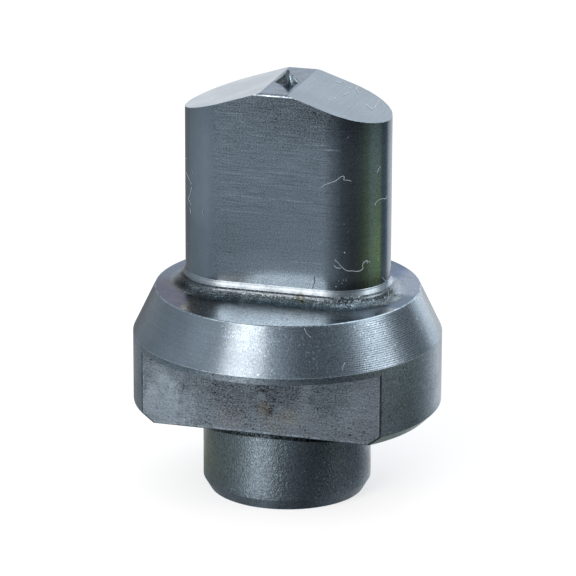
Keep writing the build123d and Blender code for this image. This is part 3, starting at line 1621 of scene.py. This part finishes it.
@dataclass(frozen=True)
class RootFinish(SteelFinish):
    """Root of the head: painted light at its right end, painted shade at its left end and at the front of
    both ends, and dirty at one place in front.
    """

    # Painted light at the right end.
    right_gain: float = 0.6
    foot_gain: float = 0.0
    glints: float = 0.0
    dots: float = 0.0
    corner_gain: float = 0.0
    # Painted shade at the front of the left and right ends.
    left_front: float = -0.25
    right_front: float = 0.0
    # Painted shade: the left end turns to this darker colour.
    left_end: Colour = (0.21, 0.265, 0.315)
    right_end: Colour = (0.24, 0.3, 0.355)
    dirt: Colour = (0.09, 0.095, 0.05)
    dirty_place: Triple = (3.1, -6.1, 22.6)
    dirty_radius: float = 0.75
    crumbly: Ease = Ease("crumbs", 0.4, 0.6)
    noises: tuple[Noise, ...] = (
        Noise("ragged_up", 3.0, 3.0, 0.6, reach=0.16, along="z"),
        Noise("glints", 7.0, 1.0),
        Noise("dots", 4.0, 1.0, shift=(9, 4, 2)),
        Noise("crumbs", 3.0, 3.0),
    )

    def areas(self) -> tuple[Area, ...]:
        """Changes of tone along the punch with painted light at the right end and painted shade at the left
        end and in front, glints, and the two ridges with the groove between them, a painted highlight on
        the upper ridge and painted shade in the groove.

        Returns:
            The areas.
        """
        inside = (Ease("x", -8.5, -5.0), Ease("x", 10.0, 7.4, 0.3, 1.0))
        return (
            Area((Ease("x", -8.5, -10.5),), colour=self.left_end),
            Area((Ease("x", 9.5, 11.0), Ease("y", -1.0, 1.5)), colour=self.right_end),
            Area((Ease("x", 7.0, 9.5),), self.right_gain),
            Area((Ease("x", 7.2, 8.6), Ease("y", -3.0, -4.5)), self.corner_gain),
            Area((Ease("x", 9.5, 11.0), Ease("y", 0.8, -1.2)), self.right_front),
            Area((Ease("x", -8.5, -10.0), Ease("y", -1.0, -3.5)), self.left_front),
            Area((Ease("z", 22.3, 21.9), Ease("x", -5.0, -1.0)), self.foot_gain),
            Area((Ease("glints", 0.55, 0.67), *inside), self.glints),
            Area((Ease("dots", 0.5, 0.62), *inside), self.dots),
            # Painted highlight on the upper ridge, and painted shade in the groove between the ridges.
            Area((Ease("ragged_up", 23.0, 23.12),), 0.22),
            Area((Ease("ragged_up", 22.5, 22.56), Ease("ragged_up", 22.76, 22.7)), -0.45),
        )

    def details(self, surface: Surface) -> None:
        """Adds the patch of dirt at the front after the areas.

        Args:
            surface: surface to work on.
        """
        super().details(surface)
        x, y, z = self.dirty_place
        given = {"Place": surface.place, "X": x, "Y": y, "Z": z, "Radius": self.dirty_radius}
        mask = surface.graph.effect(surface.effects.patch, **given)["Mask"]
        surface.tint(mask * surface.mask(self.crumbly), self.dirt)


@dataclass(frozen=True)
class Patch:
    """Soft patch of colour or tone, in millimetres."""

    x: float
    z: float
    radius: float
    gain: float = 0.0
    colour: Colour = (0.23, 0.3, 0.37)
    share: float = 0.0


@dataclass(frozen=True)
class FlatFinish(SteelFinish):
    """Milled spanner flats, stained and speckled, with painted shade along their top under the rim, and a
    painted highlight along the border at their ends and below.
    """

    depth: float = -9.75
    half_length: float = 12.68
    low_edge: float = 8.85
    # Painted highlight along the flat's border, dotted.
    border_gain: float = 0.6
    noises: tuple[Noise, ...] = (Noise("dots", 2.6, 2.0, 0.6),)
    patches: tuple[Patch, ...] = (
        # The first three patches darken the top of the flat under the rim: painted shade. The rest are
        # stains and tone.
        Patch(-2.5, 13.6, 4.2, gain=-0.3),
        Patch(2.2, 13.2, 3.0, gain=-0.4),
        Patch(7.4, 13.4, 2.8, gain=-0.3, colour=(0.17, 0.24, 0.3), share=0.4),
        Patch(-10.5, 10.8, 3.6, gain=0.75),
        Patch(-10.5, 13.6, 2.8, gain=0.25),
        Patch(10.3, 11.5, 4.0, gain=0.16),
        Patch(-6.0, 9.6, 2.2, gain=0.12),
        Patch(0.4, 11.6, 1.1, gain=-0.2, colour=(0.22, 0.21, 0.18), share=0.6),
        Patch(3.0, 10.9, 1.3, gain=0.15, colour=(0.24, 0.26, 0.26), share=0.6),
        Patch(1.5, 9.9, 2.0, gain=-0.05, colour=(0.21, 0.23, 0.24), share=0.4),
        Patch(-3.4, 10.2, 2.0, colour=(0.23, 0.24, 0.27), share=0.4),
    )

    def areas(self) -> tuple[Area, ...]:
        """Painted highlight along the border of the flat.

        Returns:
            The areas.
        """
        dots, side, low = Ease("dots", 0.42, 0.58), self.half_length, self.low_edge
        return (
            Area((dots, Ease("aside", side - 0.26, side - 0.14)), self.border_gain),
            Area((dots, Ease("z", low + 0.26, low + 0.12)), self.border_gain),
        )

    def details(self, surface: Surface) -> None:
        """Adds the stains, the painted shade under the rim and the patches of other tone before the areas.

        Args:
            surface: surface to work on.
        """
        effect, given = surface.effects.patch, {"Place": surface.place, "Y": self.depth}
        for patch in self.patches:
            given |= {"X": patch.x, "Z": patch.z, "Radius": patch.radius}
            mask = surface.graph.effect(effect, **given)["Mask"]
            surface.lighten(mask, patch.gain)
            if patch.share:
                surface.tint(mask * patch.share, patch.colour)
        super().details(surface)


@dataclass(frozen=True)
class LintFinish:
    """Matt fibres with a soft sheen. Cotton lint is pale."""

    name: str
    colour: Colour
    shade: Colour
    roughness: float = 0.9
    smoother: float = 0.15  # how much less rough the paler stretches are
    sheen: float = 0.8
    glow: float = 0.0  # painted glow, which stands in for light that reaches it through its own threads
    patchiness: float = 0.4  # size of the darker stretches, in millimetres

    def dress(self, effects: Effects) -> bpy.types.Material:
        """Builds the material.

        Args:
            effects: the shared effects.

        Returns:
            The material.
        """
        material, graph, shader = new_material(self.name)
        tone = graph.effect(effects.mottle, Place=graph.place(), Size=self.patchiness)["Tone"]
        colour = graph.blend(tone, self.shade, self.colour)
        for name, value in {
            "Sheen Weight": self.sheen,
            "Emission Strength": self.glow,
            "Base Color": colour,
            "Emission Color": colour,
            "Roughness": tone.ramp(0.0, 1.0, self.roughness, self.roughness - self.smoother),
        }.items():
            graph.feed(shader.inputs[name], value)
        return material


STEEL: Colour = (0.235, 0.305, 0.375)
SHADE: Colour = (0.205, 0.27, 0.335)

FINISHES: dict[Zone, SteelFinish] = {
    Zone.WALL: WallFinish(
        "ground_wall", STEEL, SHADE, roughness=0.16, uneven=0.02, pitch=0.13, run=3, line_gain=1.2,
        mark_gain=0.1, grain_size=0.12, grain_stretch=(0.8, 0.8, 1), grain_gain=2.7, pit_gain=0.25,
        fleck_gain=0.3, mottle_size=4,
    ),
    Zone.ROOF: SteelFinish(
        "ground_roof", (0.24, 0.31, 0.385), (0.225, 0.29, 0.36), roughness=0.2, lay=Lay.CROSSWAYS,
        pitch=0.2, run=9, line_gain=0.35, line_depth=0.0004, grain_size=0.16, grain_gain=0.4,
        grain_depth=0.0004, fleck_gain=0.2, mottle_size=5,
    ),
    Zone.LAND: SteelFinish(
        "ground_land", (0.105, 0.17, 0.26), (0.055, 0.1, 0.18), roughness=0.15, lay=Lay.CROSSWAYS, run=1.2,
        line_gain=1.3, line_depth=0.0004, grain_gain=0.6, grain_depth=0.0008, fleck_gain=0.2,
        mottle_size=1.2,
    ),
    Zone.NIB: NibFinish(
        "ground_nib", (0.17, 0.215, 0.25), (0.08, 0.11, 0.13), roughness=0.18, pitch=0.1, run=0.5,
        line_gain=0.8, line_depth=0.002, grain_size=0.1, grain_gain=1.6, grain_depth=0.003, fleck_gain=1.2,
        mottle_size=0.4,
    ),
    Zone.ROOT: RootFinish(
        "milled_root", (0.24, 0.3, 0.355), (0.21, 0.265, 0.315), roughness=0.34, run=5, line_gain=0.6,
        grain_size=0.14, grain_stretch=(0.6, 0.6, 1), grain_gain=1.2, grain_depth=0.002, pit_gain=0.12,
        fleck_gain=0.3, mottle_size=1,
    ),
    Zone.FOOT: RootFinish(
        "milled_root_foot", (0.215, 0.28, 0.325), (0.095, 0.125, 0.147), roughness=0.33, right_gain=0.0,
        foot_gain=0.5, glints=3.0, dots=-0.4, corner_gain=-0.35, left_front=-0.6, right_front=-0.45,
        left_end=(0.085, 0.12, 0.165), right_end=(0.16, 0.205, 0.26), run=5, line_gain=0.8,
        grain_size=0.16, grain_gain=3.2, grain_depth=0.012, pit_gain=0.6, fleck_gain=2.2, mottle_size=1.2,
    ),
    Zone.FACE: FaceFinish(
        "turned_face", (0.045, 0.093, 0.185), (0.03, 0.066, 0.135), roughness=0.26, blur_across=0.3,
        lay=Lay.RINGS, pitch=0.15, line_depth=0.0006, grain_size=0.13, grain_gain=2.8, pit_gain=0.6,
        fleck_gain=1.2, mottle_size=2,
    ),
    Zone.CONE: ConeFinish(
        "turned_cone", STEEL, SHADE, roughness=0.27, blur_across=0.35, line_gain=0.25, grain_size=0.13,
        grain_stretch=(1, 1, 0.8), grain_depth=0.0045, pit_gain=0.08, fleck_gain=0.7, mottle_size=4,
    ),
    Zone.BARREL: SteelFinish(
        "turned_barrel", STEEL, SHADE, roughness=0.36, blur_across=0.6, pitch=0.2, line_gain=0.4,
        grain_gain=2.6, grain_depth=0.008, pit_gain=0.35, fleck_gain=0.5,
    ),
    Zone.FLAT: FlatFinish(
        "milled_flat", (0.2, 0.255, 0.31), (0.165, 0.21, 0.26), roughness=0.42, uneven=0.05, run=2.0,
        line_gain=1.1, line_depth=0.002, grain_stretch=(0.8, 0.8, 1), grain_gain=2.8, grain_depth=0.006,
        pit_gain=0.45, fleck_gain=0.45, mottle_size=2,
    ),
    Zone.BREAK: SteelFinish(
        "dark_break", (0.2, 0.26, 0.31), (0.1, 0.135, 0.16), roughness=0.36, run=3, line_gain=0.6,
        grain_size=0.16, grain_gain=1.8, grain_depth=0.003, fleck_gain=1.5, mottle_size=1.5,
    ),
    Zone.UNDERSIDE: SteelFinish(
        "turned_underside", STEEL, SHADE, roughness=0.38, blur_across=0.4, lay=Lay.RINGS, pitch=0.2,
        line_gain=0.8, line_depth=0.003, grain_gain=0.9, grain_depth=0.003, pit_gain=0.3, fleck_gain=0.2,
    ),
    Zone.STUB: StubFinish(
        "ground_stub", (0.225, 0.295, 0.355), (0.195, 0.255, 0.31), roughness=0.3, blur_across=0.8,
        pitch=0.15, line_gain=0.3, grain_size=0.17, grain_stretch=(1, 1, 0.75), grain_gain=1.7,
        grain_depth=0.05, pit_gain=0.25, fleck_gain=0.8,
    ),
    Zone.EDGE: EdgeFinish(
        "worn_edge", (0.48, 0.6, 0.72), (0.28, 0.37, 0.46), roughness=0.46, uneven=0.05, pitch=0.2, run=1,
        grain_size=0.2, grain_gain=3.0, grain_depth=0.004, pit_gain=0.4, fleck_gain=1.5, mottle_size=1,
    ),
}
LINT_FINISH = LintFinish("shaded_lint", (0.5, 0.6, 0.7), (0.3, 0.38, 0.46))
LIT_LINT_FINISH = LintFinish("lit_lint", (0.85, 0.9, 0.95), (0.7, 0.76, 0.82), glow=0.25)
HAIR_FINISH = LintFinish("dark_hair", (0.03, 0.035, 0.04), (0.015, 0.018, 0.02), sheen=0.0)

# Studio


@dataclass(frozen=True)
class Viewpoint:
    """Camera at the photograph's viewing angle."""

    azimuth: float = 16.47
    elevation: float = 18.0
    roll: float = 0.2
    distance: float = 434 * MM
    lens: float = 262.8
    aim_aside: float = 0.02 * MM
    aim_above: float = -0.4 * MM

    def build(self, middle_z: float) -> None:
        """Adds the camera.

        Args:
            middle_z: height on the punch's axis that the camera looks at.
        """
        back = along(self.azimuth, self.elevation)
        level = Vector((math.cos(math.radians(self.azimuth)), math.sin(math.radians(self.azimuth)), 0))
        spin = Matrix.Rotation(math.radians(self.roll), 3, back)
        right, up = spin @ level, spin @ back.cross(level)
        aside, above = self.aim_aside * right, self.aim_above * up
        place = Vector((0, 0, middle_z)) + self.distance * back + aside + above
        lens = bpy.data.cameras.new("camera")
        lens.lens = self.lens
        camera = bpy.data.objects.new("camera", lens)
        camera.matrix_world = Matrix.Translation(place) @ Matrix((right, up, back)).transposed().to_4x4()
        bpy.context.scene.collection.objects.link(camera)
        bpy.context.scene.camera = camera


@dataclass(frozen=True)
class SoftLamp:
    """Upright soft box that faces the punch."""

    name: str
    azimuth: float
    distance: float
    width: float
    low: float
    high: float
    brightness: float
    colour: Colour

    def build(self) -> None:
        """Adds the lamp."""
        light = bpy.data.lights.new(self.name, "AREA")
        light.shape = "RECTANGLE"
        light.size, light.size_y = self.width, self.high - self.low
        light.color = self.colour
        light.energy = self.brightness * math.pi * light.size * light.size_y
        lamp = bpy.data.objects.new(self.name, light)
        back = along(self.azimuth)
        place = self.distance * back + Vector((0, 0, (self.low + self.high) / 2))
        lamp.matrix_world = Matrix.Translation(place) @ back.to_track_quat("Z", "Y").to_matrix().to_4x4()
        lamp.visible_camera = False
        bpy.context.scene.collection.objects.link(lamp)
        LOG.info("%s: brightness %.2f", self.name, self.brightness)


@dataclass(frozen=True)
class Side:
    """One side of the tent: how light each of its levels is, from the punch's foot to overhead."""

    azimuth: float
    foot: float
    near: float
    beside: float
    far: float
    low: float
    middle: float
    high: float
    near_tint: Colour = (1, 1, 1)
    far_tint: Colour = (1, 1, 1)
    outer_tint: Colour = (1, 1, 1)
    outer_share: float = 1.0

    @property
    def outer(self) -> float:
        """Lightness of the floor beyond the far level."""
        return self.far * self.outer_share


COOL: Colour = (0.9, 1, 1.05)


@dataclass(frozen=True)
class Tent:
    """Ring of glowing grey and white card round the punch, seen only in reflections, which gives the steel
    something to mirror.
    """

    levels: tuple[tuple[str, float, float], ...] = (
        ("foot", 8.08 * MM, CARD_Z),
        ("foot", 10.6 * MM, CARD_Z),
        ("near", 13.5 * MM, CARD_Z),
        ("near", 24 * MM, CARD_Z),
        ("beside", 34 * MM, CARD_Z),
        ("beside", 62 * MM, CARD_Z),
        ("far", 84 * MM, CARD_Z),
        ("far", 96 * MM, CARD_Z),
        ("outer", 136 * MM, CARD_Z),
        ("outer", 180 * MM, CARD_Z),
        ("low", CARD_OUT, CARD_Z),
        ("low", CARD_OUT, 60 * MM),
        ("middle", CARD_OUT, 130 * MM),
        ("middle", CARD_OUT, 250 * MM),
        ("high", CARD_OUT, 330 * MM),
        ("high", 10 * MM, 420 * MM),
    )
    sides: tuple[Side, ...] = (
        Side(-170, 0.9, 1.3, 0.5, 0.33, 0.8, 1.1, 0.3),
        Side(-156, 0.7, 1.1, 0.5, 0.32, 1.2, 1.1, 0.25),
        Side(-142, 0.5, 0.85, 0.44, 0.21, 0.53, 0.3, 0.2),
        Side(-120, 0.35, 0.62, 0.39, 0.27, 0.48, 0.28, 0.25, (1, 1, 0.9)),
        Side(-100, 0.3, 0.31, 0.32, 0.45, 0.44, 0.4, 0.25, (1, 1.02, 0.7)),
        Side(-80, 0.3, 0.27, 0.3, 0.54, 0.52, 0.55, 0.28, (1, 1, 0.75)),
        Side(-60, 0.28, 0.26, 0.3, 0.6, 0.62, 0.74, 0.3, (1, 1, 0.78)),
        Side(-38, 0.27, 0.36, 0.32, 0.5, 0.66, 0.68, 0.35, (1, 1, 0.88)),
        Side(-14, 0.27, 1.1, 0.4, 0.46, 0.9, 0.9, 0.4),
        Side(0, 0.32, 0.34, 0.29, 0.37, 0.66, 0.95, 0.3),
        Side(12, 0.16, 0.18, 0.25, 0.26, 0.4, 0.54, 0.3),
        Side(30, 0.1, 0.125, 0.19, 0.135, 0.14, 0.18, 0.4),
        Side(50, 0.24, 0.08, 0.11, 0.085, 0.12, 0.18, 0.7, outer_share=1.35),
        Side(66, 0.33, 0.07, 0.09, 0.11, 0.2, 0.33, 1.1, (1, 1, 1), (1, 1, 0.6), (0.95, 1, 0.85), 1.25),
        Side(80, 0.43, 0.09, 0.075, 0.21, 0.48, 0.83, 1.4, (1, 1, 0.9), (0.9, 1, 0.45), (0.85, 1, 0.72)),
        Side(92, 0.52, 0.12, 0.085, 0.38, 0.66, 0.95, 1.6, COOL, (0.88, 1, 0.62), (0.85, 1, 0.82), 0.9),
        Side(104, 0.8, 0.17, 0.125, 0.45, 0.52, 0.69, 1.6, COOL, (0.8, 1, 0.4), (0.9, 1, 0.88), 0.78),
        Side(116, 0.9, 0.28, 0.31, 0.45, 0.3, 0.4, 1.6, COOL, (0.8, 1, 0.36), (0.9, 1, 0.85), 0.72),
        Side(120, 0.9, 0.38, 0.4, 0.16, 0.22, 0.35, 1.5, (1, 1, 1), (0.8, 1, 0.9), (0.9, 1, 1), 1.1),
        Side(134, 1.0, 0.68, 0.78, 0.17, 0.24, 0.48, 1.2, (1, 1, 1), (0.87, 1, 1.1), (0.87, 1, 1.1)),
        Side(139, 1.0, 0.88, 0.93, 0.22, 0.28, 0.52, 1.1, (1, 1, 1), (0.9, 1, 1.1), (0.9, 1, 1.1)),
        Side(150, 1.1, 1.4, 1.2, 0.75, 1.8, 0.88, 0.8),
        Side(165, 1.2, 2.0, 0.9, 0.85, 1.75, 1.25, 0.4),
    )
    steps: int = 180

    def shade(self, azimuth: float, level: str) -> Colour:
        """Colour of the tent between its two nearest sides.

        Args:
            azimuth: direction from the punch, in degrees.
            level: name of the level.

        Returns:
            The colour.
        """
        for first, second in zip(self.sides, (*self.sides[1:], self.sides[0])):
            share = ((azimuth - first.azimuth) % 360) / ((second.azimuth - first.azimuth) % 360)
            if share <= 1:
                break
        share = share * share * (3 - 2 * share)
        light = (1 - share) * getattr(first, level) + share * getattr(second, level)
        if level not in ("near", "far", "outer"):
            return light, light, light
        tints = zip(getattr(first, level + "_tint"), getattr(second, level + "_tint"))
        return tuple(light * ((1 - share) * a + share * b) for a, b in tints)

    def gap(self, place: Vector, radius: float, height: float) -> float:
        """Distance of a place from a circle round the axis."""
        return math.hypot(place.xy.length - radius, place.z - height)

    def build(self) -> None:
        """Adds the tent."""
        bm = bmesh.new()
        turn(bm, [level[1:] for level in self.levels], self.steps)
        dye = bm.verts.layers.float_color.new("dye")
        for vert in bm.verts:
            azimuth = math.degrees(math.atan2(vert.co.x, -vert.co.y))
            level = min(self.levels, key=lambda item: self.gap(vert.co, *item[1:]))[0]
            vert[dye] = (*self.shade(azimuth, level), 1)
        tent = stand("tent", bm)
        tent.visible_camera = tent.visible_diffuse = tent.visible_transmission = False
        tent.visible_shadow = tent.visible_volume_scatter = False
        tent.data.materials.append(self.card())
        LOG.info("tent: %d faces", len(tent.data.polygons))

    def card(self) -> bpy.types.Material:
        """Card that glows with its own light level, whatever light falls on it.

        Returns:
            The material.
        """
        material, graph, _ = new_material("dyed_card", bare=True)
        dye, glow = graph.add("ShaderNodeAttribute", attribute_name="dye"), graph.add("ShaderNodeEmission")
        graph.feed(glow.inputs["Color"], dye.outputs["Color"])
        graph.feed(graph.add("ShaderNodeOutputMaterial").inputs["Surface"], glow.outputs[0])
        return material


@dataclass(frozen=True)
class Studio:
    """Pale floor, white surroundings, two soft lamps and the tent."""

    floor_size: float = 3.0
    floor_colour: Colour = (0.77, 0.8, 0.83)
    floor_glow: float = 0.58
    ambient: float = 0.55
    tent: Tent = field(default_factory=Tent)
    lamps: tuple[SoftLamp, ...] = (
        SoftLamp("key_lamp", -18.5, 250 * MM, 122 * MM, 3 * MM, 240 * MM, 3.15, (1.2, 1, 0.87)),
        SoftLamp("side_lamp", 91, 250 * MM, 110 * MM, 30 * MM, 180 * MM, 1.75, (1.12, 1, 0.91)),
    )
    view: Viewpoint = field(default_factory=Viewpoint)

    def build(self, middle_z: float) -> None:
        """Adds the whole studio.

        Args:
            middle_z: height on the punch's axis that the camera faces.
        """
        self.floor()
        self.surroundings()
        for part in (*self.lamps, self.tent):
            part.build()
        self.view.build(middle_z)
        bpy.context.scene.view_settings.view_transform = "Standard"

    def seen(self, graph: Graph) -> Wire:
        """Mask that is 1 where the camera, a mirror or glass looks straight at the backdrop."""
        path = graph.add("ShaderNodeLightPath").outputs
        return graph.largest(path["Is Camera Ray"], path["Is Glossy Ray"], path["Is Transmission Ray"])

    def floor(self) -> None:
        """Adds the pale floor, which keeps the punch's shadow."""
        bm = bmesh.new()
        bmesh.ops.create_grid(bm, x_segments=1, y_segments=1, size=self.floor_size)
        floor = stand("floor", bm)
        material, graph, _ = new_material("pale_floor", bare=True)
        paint, glow = graph.add("ShaderNodeBsdfDiffuse"), graph.add("ShaderNodeEmission")
        both, out = graph.add("ShaderNodeAddShader"), graph.add("ShaderNodeOutputMaterial")
        graph.feed(paint.inputs["Color"], self.floor_colour)
        graph.feed(glow.inputs["Strength"], self.seen(graph) * self.floor_glow)
        graph.feed(both.inputs[0], paint.outputs[0])
        graph.feed(both.inputs[1], glow.outputs[0])
        graph.feed(out.inputs["Surface"], both.outputs[0])
        floor.data.materials.append(material)

    def surroundings(self) -> None:
        """Adds the world: white where it is seen, and plain soft light otherwise."""
        world = bpy.data.worlds.new("surroundings")
        world.use_nodes = True
        graph = Graph(world.node_tree)
        background = world.node_tree.nodes["Background"]
        graph.feed(background.inputs["Color"], (1.0, 1.0, 1.0))
        strength = self.seen(graph) * (1 - self.ambient) + self.ambient
        graph.feed(background.inputs["Strength"], strength)
        world.cycles.sampling_method = "NONE"
        bpy.context.scene.world = world


def main() -> None:
    """Builds the punch and the studio, and reports each piece."""
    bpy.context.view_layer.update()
    punch, effects = Punch(), Effects()
    piece = punch.build()
    for zone in Zone:
        piece.data.materials.append(FINISHES[zone].dress(effects))
    LOG.info("%s: %d finishes", piece.name, len(piece.data.materials))
    for clinging, finish in (
        (Lint(punch, "wall_lint", (Seat.WALL, Seat.CONE), THREADS, SPECKS), LINT_FINISH),
        (Lint(punch, "roof_lint", (Seat.ROOF,), THREADS, SPECKS), LIT_LINT_FINISH),
        (Lint(punch, "hair", (Seat.WALL,), HAIR, {}, 0.03 * MM), HAIR_FINISH),
    ):
        clinging.build().data.materials.append(finish.dress(effects))
    Studio().build(punch.face_z)


if __name__ == "__main__":
    logging.basicConfig(level=logging.INFO, format="%(message)s")
    main()
